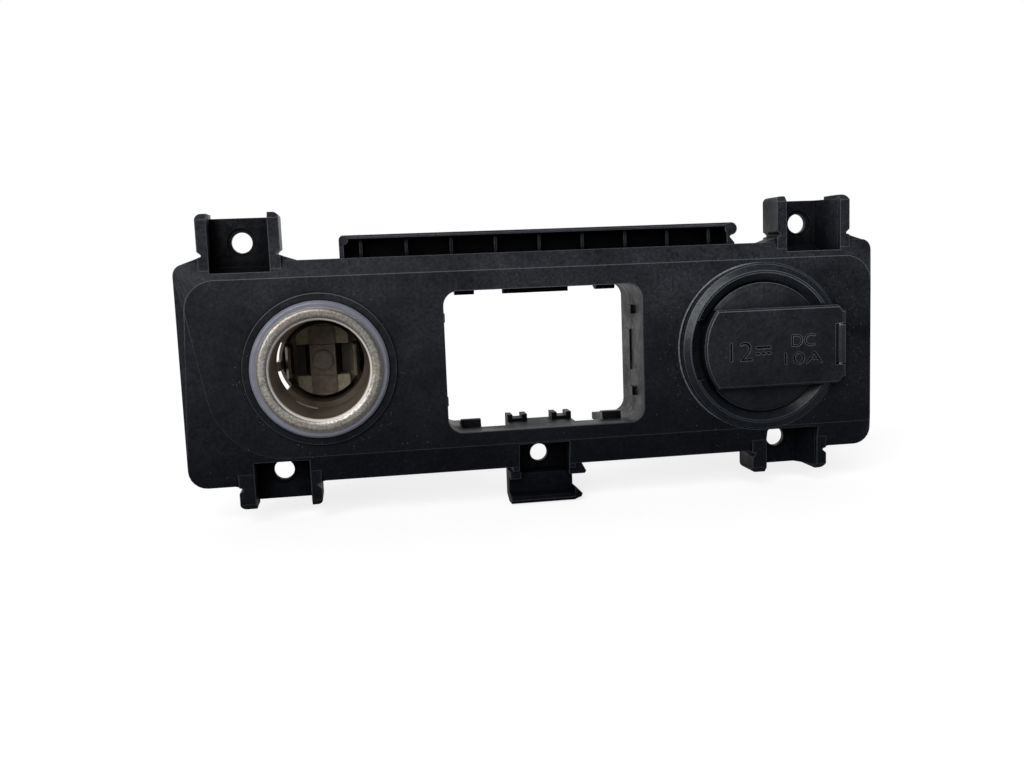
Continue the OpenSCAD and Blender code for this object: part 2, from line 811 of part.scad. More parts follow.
// Window cutter: a sector of the shell's shoulder and narrow end that starts at angle a.
module window(a) {
    far = shell_r + 1;
    intersection() {
        tube_y(narrow_r - 1, far, bore_depth + 0.25, bore_depth + window_l);
        along_y(bore_depth, bore_depth + window_l + 1)
        polygon([
            [0, 0],
            [2 * far * cos(a), 2 * far * sin(a)],
            [2 * far * cos(a + window_span), 2 * far * sin(a + window_span)]
        ]);
    }
}

module lighter_shell() {
    color("#b9b2a6")
    difference() {
        drawn_shell(light_front - 1.1, flange_d / 2, light_front);
        window(window_middle + window_gap / 2);
        window(window_middle - window_gap / 2 - window_span);
    }
}

// Light ring: a clear flange under the metal rim and a sleeve that snaps behind the collar.
module lighter_light_ring() {
    ring_r = light_ring_d / 2;
    color("#8f8fa8") {
        turned([
            [sleeve_in, light_front],
            [ring_r - 0.5, light_front],
            [ring_r, light_front + 0.5],
            [ring_r, -pad_h],
            [sleeve_out, -pad_h],
            [sleeve_out, sleeve_end],
            [sleeve_in, sleeve_end]
        ]);
        for (s = [-1, 1])
            along_x(-2.2, 2.2)
            polygon([
                [collar_depth + fit_gap, s * (sleeve_out - 0.4)],
                [collar_depth + fit_gap, s * (sleeve_out + 0.9)],
                [collar_depth + 2.4, s * (sleeve_out - 0.2)],
                [collar_depth + 2.4, s * (sleeve_out - 0.4)]
            ]);
    }
}

// Finger of a clip: an arm that slopes down beside the raised plate to the disc, runs out to x
// and bends forward, with its tip turned in.
module finger(x) {
    tip_y = clip_front - finger_l;
    arm_y = disc_front - clip_t;
    step = arm_w / 2;
    foot = step + 1.3;
    along_z(-finger_w / 2, finger_w / 2)
    polygon([
        [0, clip_front],
        [step, clip_front],
        [foot, arm_y],
        [x - 0.6, arm_y],
        [x, arm_y - 0.6],
        [x, tip_y + 1.2],
        [x - 0.6, tip_y],
        [x - 0.6 + clip_t, tip_y],
        [x + clip_t, tip_y + 1.2],
        [x + clip_t, disc_front - 0.6],
        [x + clip_t - 0.6, disc_front],
        [foot - clip_t, disc_front],
        [step - clip_t, clip_front + clip_t],
        [0, clip_front + clip_t]
    ]);
}

// Spring clip: a flat strap, a centre plate on it and, for a lighter, two fingers bent forward.
module contact_clip(fingers) {
    reach = narrow_r - 1.6;
    half = arm_w / 2;
    strap_y = clip_front + clip_t;
    difference() {
        union() {
            block(-half, half, strap_y - e, strap_y + clip_t, -reach, reach);
            if (fingers) {
                finger(narrow_r - 1.8);
                mirror([1, 0, 0]) finger(narrow_r - 1.8);
            } else
                block(-half, half, clip_front, strap_y, -finger_w / 2, finger_w / 2);
        }
        disc_y(rivet_d / 2 + 0.05, clip_front - 1, strap_y + clip_t + 1);
    }
}

module lighter_contact_clip() {
    color("#41382e") contact_clip(true);
}

// Insulator: a disc on the shell's floor, a raised plate under the clip that leaves room for
// its two arms, and a hub through the floor.
module insulator() {
    plate_r = narrow_r - 1.1;
    plate_front = disc_front - boss_h;
    arm_half = finger_w / 2 + fit_gap;
    difference() {
        union() {
            disc_y(narrow_r - 0.75, disc_front, floor_depth);
            intersection() {
                disc_y(plate_r, plate_front, disc_front + e);
                block(-plate_w / 2, plate_w / 2, plate_front, disc_front + 1, -plate_r, plate_r);
            }
            disc_y(floor_hole_r - fit_gap, floor_depth - e, floor_back);
        }
        block(centre_half, plate_r, plate_front - 1, disc_front, -arm_half, arm_half);
        block(-plate_r, -centre_half, plate_front - 1, disc_front, -arm_half, arm_half);
        disc_y(rivet_d / 2 + 0.05, plate_front - 1, floor_back + 1);
    }
}

module lighter_insulator() {
    color("#6a6348") insulator();
}

// Rivet: a shallow head on the clip, a shank and a tail set over the blade's foot.
module rivet() {
    r = rivet_d / 2;
    head_r = rivet_head_d / 2;
    foot_back = base_back + blade_t;
    turned([
        [0, clip_front - head_t],
        [head_r - 0.6, clip_front - head_t],
        [head_r, clip_front - 0.3],
        [head_r, clip_front],
        [r, clip_front],
        [r, foot_back],
        [tail_r, foot_back],
        [tail_r - 0.4, foot_back + tail_t],
        [0, foot_back + tail_t]
    ]);
}

module lighter_rivet() {
    color("#5a5348") rivet();
}

// Connector: a base against the shell's floor and a shroud round the two blades.
module connector() {
    slot = fit_gap / 2;
    ground_z = blade_pitch / 2;
    difference() {
        union() {
            disc_y(narrow_r + sheet_t - 0.3, floor_back, base_back);
            along_y(base_back - e, base_back + shroud_l) rounded_box(shroud_w, shroud_h, 1.6);
            // Latch ramp for the plug, on the shroud's upper wall
            along_x(-2, 2)
            polygon([
                [base_back + shroud_l - 6, shroud_h / 2 - e],
                [base_back + shroud_l - 5.6, shroud_h / 2 + 1],
                [base_back + shroud_l - 2, shroud_h / 2 - e]
            ]);
        }
        along_y(base_back, base_back + shroud_l + 1)
        rounded_box(shroud_w - 2 * shroud_wall, shroud_h - 2 * shroud_wall, 0.8);
        disc_y(rivet_d / 2 + 0.05, floor_back - 1, base_back + 1);
        block(-blade_w / 2 - slot, blade_w / 2 + slot, floor_back - 1, base_back + 1,
            ground_z - blade_t / 2 - slot, ground_z + blade_t / 2 + slot);
        block(-blade_w / 2 - slot, blade_w / 2 + slot, floor_back - 1, floor_back + blade_t + slot,
            ground_z - blade_t / 2 - slot, ground_z + ground_foot + slot);
    }
}

module lighter_connector() {
    color("#2b2420") connector();
}

// Blade tip with its lead-in, drawn in X and Y and standing at height z.
module blade(z, foot_y) {
    tip = base_back + shroud_l - 2.5;
    along_z(z - blade_t / 2, z + blade_t / 2)
    polygon([
        [-blade_w / 2, foot_y],
        [-blade_w / 2, tip - 1.2],
        [-blade_w / 2 + 1, tip],
        [blade_w / 2 - 1, tip],
        [blade_w / 2, tip - 1.2],
        [blade_w / 2, foot_y]
    ]);
}

// Positive blade: its foot lies on the connector's base under the rivet's tail.
module positive_blade() {
    z = -blade_pitch / 2;
    difference() {
        union() {
            blade(z, base_back);
            block(-blade_w / 2, blade_w / 2, base_back, base_back + blade_t, z, tail_r - 0.2);
        }
        disc_y(rivet_d / 2 + 0.05, base_back - 1, base_back + blade_t + 1);
    }
}

// Ground blade: its foot is welded to the back of the shell's floor.
module ground_blade() {
    z = blade_pitch / 2;
    blade(z, floor_back);
    block(-blade_w / 2, blade_w / 2, floor_back, floor_back + blade_t, z, z + ground_foot);
}

module lighter_positive_blade() {
    color("#b5a46a") positive_blade();
}

module lighter_ground_blade() {
    color("#b7b4ad") ground_blade();
}

// Lamp housing: a saddle beside the light ring's sleeve that holds a small bulb.
module lamp_housing() {
    tube_r = lamp_tube_d / 2;
    bore = bulb_d / 2 + fit_gap;
    bulb_back = lamp_front + bulb_l;
    color("#d8d2c0")
    difference() {
        union() {
            translate([lamp_x, 0, 0]) disc_y(tube_r, lamp_front, bulb_back + 3.2);
            translate([lamp_x, 0, 0]) disc_y(tube_r + 0.8, bulb_back + 1, bulb_back + 2.2);
            block(sleeve_out - 1, lamp_x, lamp_front, lamp_front + saddle_l, -tube_r, tube_r);
        }
        disc_y(sleeve_out + fit_gap, lamp_front - 1, lamp_front + saddle_l + 1);
        translate([lamp_x, 0, 0]) disc_y(bore, lamp_front - 1, bulb_back);
        block(sleeve_out - 2, lamp_x, lamp_front + 1.2, lamp_front + saddle_l - 1.2,
            -tube_r + 1.6, tube_r - 1.6);
    }
}

// Bulb: a capsule with a round tip, seated on the housing's floor.
module lamp_bulb() {
    r = bulb_d / 2;
    back = lamp_front + bulb_l;
    color("#e8e4d8")
    translate([lamp_x, 0, 0])
    turned(concat(
        [for (a = [0:15:90]) [r * sin(a), back - bulb_l + 1 + r - r * cos(a)]],
        [[r, back - 2.5], [r - 0.4, back], [0, back]]
    ));
}

module at_outlet() {
    translate([socket_pitch, outlet_shift, outlet_z])
    children();
}

// Bezel: a rim that falls away on both sides of its crest, a dish with a finger notch, a sleeve
// with two barbs and the hinge knuckle.
module outlet_bezel() {
    relief_x = hinge_x - barrel_r - lid_gap;
    relief_half = barrel_half + lid_gap;
    color("#23262a")
    translate([socket_pitch, 0, outlet_z])
    difference() {
        union() {
            difference() {
                turned([
                    [sleeve_in, dish_depth],
                    [dish_r, dish_depth],
                    [dish_r, dish_lip],
                    [crest_r - 0.25, -rim_rise],
                    [crest_r + 0.25, -rim_rise],
                    [bezel_r - 0.1, -0.15],
                    [bezel_r, 0],
                    [bezel_r, bezel_back],
                    [sleeve_out, bezel_back],
                    [sleeve_out, outlet_shift + bore_depth],
                    [sleeve_in, outlet_shift + bore_depth]
                ]);
                intersection() {
                    tube_y(dish_r - 0.5, crest_r, -rim_rise - 1, dish_depth);
                    block(-bezel_r - 1, 0, -rim_rise - 2, dish_depth + 1, -notch_h / 2, notch_h / 2);
                }
                block(relief_x, bezel_r + 1, -rim_rise - 1, hinge_y + barrel_r + lid_gap,
                    -relief_half, relief_half);
            }
            block(hinge_x - barrel_r, hinge_x + 0.3, hinge_y, dish_depth, -knuckle_w / 2, knuckle_w / 2);
            translate([hinge_x, hinge_y, -knuckle_w / 2])
            cylinder(r = barrel_r, h = knuckle_w);
            for (s = [-1, 1])
                along_x(-2.2, 2.2)
                polygon([
                    [bezel_back + rib_t + fit_gap, s * (sleeve_out - 0.4)],
                    [bezel_back + rib_t + fit_gap, s * (sleeve_out + 0.9)],
                    [bezel_back + rib_t + 3, s * (sleeve_out - 0.2)],
                    [bezel_back + rib_t + 3, s * (sleeve_out - 0.4)]
                ]);
        }
        translate([hinge_x, hinge_y, -knuckle_w])
        cylinder(r = pin_d / 2 + 0.02, h = 2 * knuckle_w);
    }
}

module outlet_shell() {
    color("#b9b2a6") at_outlet() drawn_shell(light_front - 1.1, flange_d / 2, light_front);
}

module outlet_contact_clip() {
    color("#b5a46a") at_outlet() contact_clip(false);
}

module outlet_insulator() {
    color("#6a6348") at_outlet() insulator();
}

module outlet_rivet() {
    color("#5a5348") at_outlet() rivet();
}

module outlet_connector() {
    color("#26282b") at_outlet() connector();
}

module outlet_positive_blade() {
    color("#b5a46a") at_outlet() positive_blade();
}

module outlet_ground_blade() {
    color("#b7b4ad") at_outlet() ground_blade();
}

module hinge_pin() {
    color("#9a9a9a")
    translate([socket_pitch + hinge_x, hinge_y, outlet_z - pin_l / 2])
    cylinder(d = pin_d, h = pin_l);
}

// Band across the lid: round at the free end, bevelled at its edges, chamfered at the hinge.
module lid_band() {
    intersection() {
        along_x(-disc_r - 1, hinge_x + barrel_r + 1)
        polygon([
            [-band_rise, -band_half + bevel],
            [-band_rise, band_half - bevel],
            [-band_rise + bevel, band_half],
            [1, band_half],
            [1, -band_half],
            [-band_rise + bevel, -band_half]
        ]);
        union() {
            turned([
                [0, -band_rise],
                [disc_r - bevel, -band_rise],
                [disc_r, -band_rise + bevel],
                [disc_r, lid_front + disc_bevel_h + 0.1],
                [0, lid_front + disc_bevel_h + 0.1]
            ]);
            along_y(-band_rise, band_back)
            polygon([
                [0, -band_half],
                [0, band_half],
                [hinge_x - 1, band_half],
                [hinge_x, band_half - 1.3],
                [hinge_x, -band_half + 1.3],
                [hinge_x - 1, -band_half]
            ]);
        }
    }
}

// Lid: a disc over the mouth, a plug ring behind it, the band and two hinge barrels.
module lid() {
    plug_r = plug_d / 2;
    color("#202327")
    translate([socket_pitch, 0, outlet_z])
    difference() {
        union() {
            turned([
                [0, lid_front],
                [disc_r - disc_bevel_w, lid_front],
                [disc_r, lid_front + disc_bevel_h],
                [disc_r, lid_back],
                [0, lid_back]
            ]);
            turned([
                [plug_r - 1.4, lid_back - e],
                [plug_r, lid_back - e],
                [plug_r, plug_end - 0.5],
                [plug_r - 0.5, plug_end],
                [plug_r - 1.4, plug_end]
            ]);
            lid_band();
            translate([hinge_x, hinge_y, -barrel_half])
            cylinder(r = barrel_r, h = 2 * barrel_half);
        }
        block(hinge_x - barrel_r - lid_gap, hinge_x + 2 * barrel_r, -band_rise - 1, 1,
            -window_half, window_half);
        translate([hinge_x, hinge_y, -pin_hole_half])
        cylinder(r = pin_hole_r, h = 2 * pin_hole_half);
    }
}

panel();
lighter_shell();
lighter_light_ring();
lighter_contact_clip();
lighter_insulator();
lighter_rivet();
lighter_connector();
lighter_positive_blade();
lighter_ground_blade();
lamp_housing();
lamp_bulb();
outlet_bezel();
outlet_shell();
outlet_contact_clip();
outlet_insulator();
outlet_rivet();
outlet_connector();
outlet_positive_blade();
outlet_ground_blade();
hinge_pin();
lid();
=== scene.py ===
"""Looks of the console socket panel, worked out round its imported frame. Lengths are in metres."""

import bmesh
import bpy
import numpy as np
from mathutils import Matrix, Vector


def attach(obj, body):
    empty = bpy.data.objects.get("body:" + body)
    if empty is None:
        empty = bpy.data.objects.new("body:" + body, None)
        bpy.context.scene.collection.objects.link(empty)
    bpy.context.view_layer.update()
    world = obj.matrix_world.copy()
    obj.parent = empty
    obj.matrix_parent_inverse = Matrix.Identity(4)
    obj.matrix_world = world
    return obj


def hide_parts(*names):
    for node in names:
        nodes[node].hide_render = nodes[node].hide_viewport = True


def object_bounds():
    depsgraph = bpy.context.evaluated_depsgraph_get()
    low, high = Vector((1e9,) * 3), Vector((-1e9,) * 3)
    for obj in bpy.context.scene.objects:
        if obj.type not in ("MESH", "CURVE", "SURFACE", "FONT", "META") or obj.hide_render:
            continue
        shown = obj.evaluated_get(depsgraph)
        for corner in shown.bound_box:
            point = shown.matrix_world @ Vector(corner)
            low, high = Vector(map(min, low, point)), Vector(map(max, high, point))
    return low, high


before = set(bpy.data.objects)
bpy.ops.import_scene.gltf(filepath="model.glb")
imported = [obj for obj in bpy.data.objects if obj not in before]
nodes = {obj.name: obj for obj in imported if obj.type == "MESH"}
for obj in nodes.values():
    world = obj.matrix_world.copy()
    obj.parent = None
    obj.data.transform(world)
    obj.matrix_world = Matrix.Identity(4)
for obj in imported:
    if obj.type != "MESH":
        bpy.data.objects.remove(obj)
cad_low, cad_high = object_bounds()

# Camera
# The photograph was taken from close in front of the lighter socket, a little above it and turned
# to the right. The place and the three axes were fitted to the panel's edges and both sockets.
MM = 0.001
camera_data = bpy.data.cameras.new("photo_camera")
camera_data.sensor_width = 36.0
camera_data.lens = 35.23
camera = bpy.data.objects.new("photo_camera", camera_data)
bpy.context.scene.collection.objects.link(camera)
camera_right = np.array([0.98705, -0.15577, -0.03833])
camera_up = np.array([0.05674, 0.11554, 0.99168])
camera_pose = np.eye(4)
camera_pose[:3, 0] = camera_right
camera_pose[:3, 1] = camera_up
camera_pose[:3, 2] = np.cross(camera_right, camera_up)
camera_pose[:3, 3] = np.array([8.1, -215.3, 21.45]) * MM
camera.matrix_world = Matrix(camera_pose.tolist())
bpy.context.scene.camera = camera
bpy.context.scene.view_settings.view_transform = "Standard"


# Floor, lamp and room
# A pale table under the panel's lowest clip, one broad soft lamp from the upper left front as in the
# photograph, and a plain white room that is dim on the photographer's side.
def linear(hex_colour):
    """Linear RGBA of an sRGB hex colour: c becomes ((c + 0.055) / 1.055) ^ 2.4, or c / 12.92 when dark."""
    c = np.array([int(hex_colour[i : i + 2], 16) for i in (1, 3, 5)]) / 255
    return (*np.where(c > 0.04045, ((c + 0.055) / 1.055) ** 2.4, c / 12.92).tolist(), 1.0)


def add_node(tree, kind, inputs=None, **settings):
    """Adds one node: settings are its own properties. Inputs are values, sockets to link from, or whole
    nodes, which stand for their first output in use."""
    made = tree.nodes.new("ShaderNode" + kind)
    for name, value in settings.items():
        setattr(made, name, value)
    for socket, value in (inputs or {}).items():
        if isinstance(value, bpy.types.Node):
            value = next(output for output in value.outputs if output.enabled)
        if isinstance(value, bpy.types.NodeSocket):
            tree.links.new(value, made.inputs[socket])
        else:
            made.inputs[socket].default_value = value
    return made


def new_material(name):
    """An empty material of that name: its node tree and its output node."""
    made = bpy.data.materials.new(name)
    made.use_nodes = True
    made.node_tree.nodes.clear()
    return made, made.node_tree, add_node(made.node_tree, "OutputMaterial")


floor_half = 3.0
floor_z = cad_low.z - 0.1 * MM
floor_mesh = bpy.data.meshes.new("floor")
floor_corners = [(x * floor_half, y * floor_half, floor_z) for x, y in ((-1, -1), (1, -1), (1, 1), (-1, 1))]
floor_mesh.from_pydata(floor_corners, [], [(0, 1, 2, 3)])
floor = bpy.data.objects.new("floor", floor_mesh)
bpy.context.scene.collection.objects.link(floor)


def seen_part(tree, depth, start, end):
    """Which rays see the white background: camera and transmission rays, and glossy ones behind the panel."""
    # Here and below a MapRange's 0 is its value, 1 and 2 are the range that it runs through, and 3 and 4
    # are what comes out at its ends: 0 and 1 where they are left out.
    rays = add_node(tree, "LightPath").outputs
    behind = add_node(tree, "MapRange", {0: depth, 1: start, 2: end})
    mirrored = add_node(tree, "Math", {0: rays["Is Glossy Ray"], 1: behind}, operation="MULTIPLY")
    direct = add_node(
        tree, "Math", {0: rays["Is Camera Ray"], 1: rays["Is Transmission Ray"]}, operation="MAXIMUM"
    )
    return add_node(tree, "Math", {0: direct, 1: mirrored}, operation="MAXIMUM")


floor_paint, tree, out = new_material("pale_table")
floor_place = add_node(tree, "SeparateXYZ", {0: add_node(tree, "TexCoord").outputs["Object"]})
paint = add_node(tree, "BsdfDiffuse", {"Color": linear("#a8a8a8")})
glow = add_node(tree, "Emission", {"Color": (1, 1, 1, 1), "Strength": 0.74})
lifted = add_node(tree, "AddShader", {0: paint, 1: glow})
seen = seen_part(tree, floor_place.outputs["Y"], 0.0, 0.1)
shown = add_node(tree, "MixShader", {0: seen, 1: paint, 2: lifted})
tree.links.new(shown.outputs[0], out.inputs["Surface"])
floor_mesh.materials.append(floor_paint)

lamp_data = bpy.data.lights.new("soft_lamp", "SUN")
lamp_data.energy = 2.6
lamp_data.angle = np.radians(50)
lamp = bpy.data.objects.new("soft_lamp", lamp_data)
bpy.context.scene.collection.objects.link(lamp)
lamp_back = np.array([-0.38, -0.78, 0.46])
lamp_back /= np.linalg.norm(lamp_back)
lamp_side = np.cross([0.0, 1.0, 0.0], lamp_back)
lamp_side /= np.linalg.norm(lamp_side)
lamp_pose = np.eye(4)
lamp_pose[:3, 0] = lamp_side
lamp_pose[:3, 1] = np.cross(lamp_back, lamp_side)
lamp_pose[:3, 2] = lamp_back
lamp.matrix_world = Matrix(lamp_pose.tolist())

room = bpy.data.worlds.new("white_room")
bpy.context.scene.world = room
room.use_nodes = True
tree = room.node_tree
tree.nodes.clear()
way = add_node(tree, "TexCoord").outputs["Generated"]
axes = add_node(tree, "SeparateXYZ", {0: way})
depth_shade = add_node(tree, "MapRange", {0: axes.outputs["Y"], 1: -0.7, 2: 0.4, 3: 0.06, 4: 0.5})
towards_lamp = add_node(tree, "VectorMath", {0: way, 1: lamp_back.tolist()}, operation="DOT_PRODUCT")
lamp_glow = add_node(tree, "MapRange", {0: towards_lamp, 1: 0.72, 2: 1.0, 3: 0.0, 4: 0.6})
shade = add_node(tree, "Math", {0: depth_shade, 1: lamp_glow}, operation="MAXIMUM")
seen = seen_part(tree, axes.outputs["Y"], 0.0, 0.3)
strength = add_node(tree, "Mix", {"Factor": seen, "A": shade, "B": 1.0})
sky = add_node(tree, "Background", {"Color": (1, 1, 1, 1), "Strength": strength})
add_node(tree, "OutputWorld", {"Surface": sky})


# Panel
# One injection moulding in black ABS with a fine spark-eroded grain: the face, five screw seats,
# the ribbed rail and the opening's frame. It looks dull and nearly black, with a grey haze and pale
# specks of dust on its front, made paler towards the top partly as painted light from above, edges
# lightened to a pale line as painted highlight with some wear, and recesses darkened as painted shade.
def edge_wear_and_highlight(tree, radius, gain):
    """The normal as if edges had that radius, and where outer edges are, for a painted highlight with some
    wear: the square root of one minus the cosine between the rounded and the own normal, times how open
    the place is to its surroundings."""
    rounded = add_node(tree, "Bevel", {"Radius": radius}, samples=6)
    own = add_node(tree, "NewGeometry").outputs["Normal"]
    cosine = add_node(tree, "VectorMath", {0: rounded, 1: own}, operation="DOT_PRODUCT")
    bend = add_node(tree, "Math", {0: 1.0, 1: cosine}, operation="SUBTRACT", use_clamp=True)
    root = add_node(tree, "Math", {0: bend, 1: 0.5}, operation="POWER")
    wear_and_highlight = add_node(tree, "MapRange", {0: root, 2: 1 / gain, 4: 0.65})
    open_part = add_node(tree, "AmbientOcclusion", {"Distance": 3 * radius}, samples=6).outputs["AO"]
    outer = add_node(tree, "MapRange", {0: open_part, 1: 0.72, 2: 0.98})
    return rounded, add_node(tree, "Math", {0: wear_and_highlight, 1: outer}, operation="MULTIPLY", use_clamp=True)


def outside_circle(tree, place, x, z, radius):
    """How far a place lies outside a circle round the axis along Y through x and z: the length of its
    offset in X and Z, less the radius."""
    centred = add_node(tree, "Mapping", {0: place, "Location": (-x, 0, -z)})
    flat = add_node(tree, "VectorMath", {0: centred, 1: (1, 0, 1)}, operation="MULTIPLY")
    length = add_node(tree, "VectorMath", {0: flat}, operation="LENGTH")
    return add_node(tree, "Math", {0: length, 1: radius}, operation="SUBTRACT")


def dusted(tree, place, clean, noises, dust, rings):
    """Dust over a clean colour. A film thickens upwards and a haze lies in patches, both less behind the
    front; the paler top is partly painted light from above, and the lack of dust behind the front also
    darkens the recesses as painted shade. Round specks lie by chance, and more of them near the rings
    of (x, z, radius, width)."""
    clouds, haze, mottle = noises
    axes = add_node(tree, "SeparateXYZ", {0: place}).outputs
    front = add_node(tree, "MapRange", {0: axes["Y"], 1: 1.8 * MM, 2: 5 * MM, 3: dust, 4: 0.12 * dust})
    upper = add_node(tree, "MapRange", {0: axes["Z"], 1: -18 * MM, 2: 18 * MM, 3: 0.15})
    film = add_node(tree, "MapRange", {0: axes["Z"], 1: 2 * MM, 2: 18 * MM, 4: 0.19})
    thick = add_node(tree, "MapRange", {0: haze, 1: 0.4, 2: 0.8})
    patchy = add_node(tree, "MapRange", {0: mottle, 1: 0.3, 2: 0.7, 3: 0.2})
    hazy = add_node(tree, "Math", {0: thick, 1: upper, 2: film}, operation="MULTIPLY_ADD", use_clamp=True)
    for part in (front, patchy):
        hazy = add_node(tree, "Math", {0: hazy, 1: part}, operation="MULTIPLY")
    under = add_node(tree, "Mix", {"Factor": hazy, "A": clean, "B": linear("#44464c")}, data_type="RGBA")
    gathered = add_node(tree, "MapRange", {0: haze, 1: 0.5, 2: 0.85, 3: 0.01, 4: 0.25})
    for x, z, radius, width in rings:
        away = outside_circle(tree, place, x, z, radius)
        away = add_node(tree, "Math", {0: away}, operation="ABSOLUTE")
        near = add_node(tree, "MapRange", {0: away, 2: width, 3: 0.55, 4: 0.0})
        patch = add_node(tree, "MapRange", {0: clouds, 1: 0.4, 2: 0.62})
        near = add_node(tree, "Math", {0: near, 1: patch}, operation="MULTIPLY")
        gathered = add_node(tree, "Math", {0: gathered, 1: near}, operation="MAXIMUM")
    cells = add_node(tree, "TexVoronoi", {"Vector": place, "Scale": 1 / (0.55 * MM)}).outputs
    chance = add_node(tree, "SeparateXYZ", {0: cells["Color"]}).outputs["X"]
    speck = add_node(tree, "Math", {0: gathered, 1: chance}, operation="GREATER_THAN")
    for part in (add_node(tree, "MapRange", {0: cells["Distance"], 1: 0.1, 2: 0.2, 3: 1.0, 4: 0.0}), front):
        speck = add_node(tree, "Math", {0: speck, 1: part}, operation="MULTIPLY")
    return add_node(tree, "Mix", {"Factor": speck, "A": under, "B": linear("#60646a")}, data_type="RGBA")


def rim_highlight_and_shade(tree, place, under, mottle, x, z, radius, width):
    """A round rim's look painted on a colour: a dark strip of that width inside the circle as painted
    shade, and a thin pale line on it as painted highlight, on the side towards -X and fainter downwards."""
    axes = add_node(tree, "SeparateXYZ", {0: place}).outputs
    away = outside_circle(tree, place, x, z, radius)
    inner = add_node(tree, "MapRange", {0: away, 1: -width, 2: -0.6 * width, 4: 0.7})
    outer = add_node(tree, "MapRange", {0: away, 1: -0.3 * width, 2: 0.0, 3: 1.0, 4: 0.0})
    strip = add_node(tree, "Math", {0: inner, 1: outer}, operation="MULTIPLY")
    rim_shaded = add_node(tree, "Mix", {"Factor": strip, "A": under, "B": linear("#040507")}, data_type="RGBA")
    away = add_node(tree, "Math", {0: away}, operation="ABSOLUTE")
    line = add_node(tree, "MapRange", {0: away, 1: 0.08 * MM, 2: 0.22 * MM, 3: 1.0, 4: 0.0})
    for part in (
        add_node(tree, "MapRange", {0: axes["X"], 1: x - 6 * MM, 2: x + 4 * MM, 3: 1.0, 4: 0.0}),
        add_node(tree, "MapRange", {0: axes["Z"], 1: -18 * MM, 2: 18 * MM, 3: 0.15}),
        add_node(tree, "MapRange", {0: axes["Y"], 1: 1.8 * MM, 2: 5 * MM, 3: 1.0, 4: 0.12}),
        add_node(tree, "MapRange", {0: mottle, 1: 0.3, 2: 0.6, 3: 0.4}),
    ):
        line = add_node(tree, "Math", {0: line, 1: part}, operation="MULTIPLY")
    return add_node(tree, "Mix", {"Factor": line, "A": rim_shaded, "B": linear("#8b9098")}, data_type="RGBA")


def stained_walls(tree, place, under, stains, x, half_width, half_height):
    """Grey stains on the walls of an opening round the axis along Y through x: on what lies behind the
    front, within its width and height, and faces sideways."""
    axes = add_node(tree, "SeparateXYZ", {0: place}).outputs
    facing = add_node(tree, "SeparateXYZ", {0: add_node(tree, "TexCoord").outputs["Normal"]}).outputs["Y"]
    facing = add_node(tree, "Math", {0: facing}, operation="ABSOLUTE")
    middle = add_node(tree, "Math", {0: axes["X"], 1: x}, operation="SUBTRACT")
    middle = add_node(tree, "Math", {0: middle}, operation="ABSOLUTE")
    level = add_node(tree, "Math", {0: axes["Z"]}, operation="ABSOLUTE")
    grey = add_node(tree, "MapRange", {0: stains, 1: 0.5, 2: 0.62, 4: 0.24})
    for part in (
        add_node(tree, "MapRange", {0: axes["Y"], 1: 0.5 * MM, 2: 3 * MM}),
        add_node(tree, "MapRange", {0: middle, 1: half_width, 2: half_width + MM, 3: 1.0, 4: 0.0}),
        add_node(tree, "MapRange", {0: level, 1: half_height, 2: half_height + MM, 3: 1.0, 4: 0.0}),
        add_node(tree, "MapRange", {0: facing, 1: 0.3, 2: 0.7, 3: 1.0, 4: 0.0}),
    ):
        grey = add_node(tree, "Math", {0: grey, 1: part}, operation="MULTIPLY")
    return add_node(tree, "Mix", {"Factor": grey, "A": under, "B": linear("#7a7a76")}, data_type="RGBA")


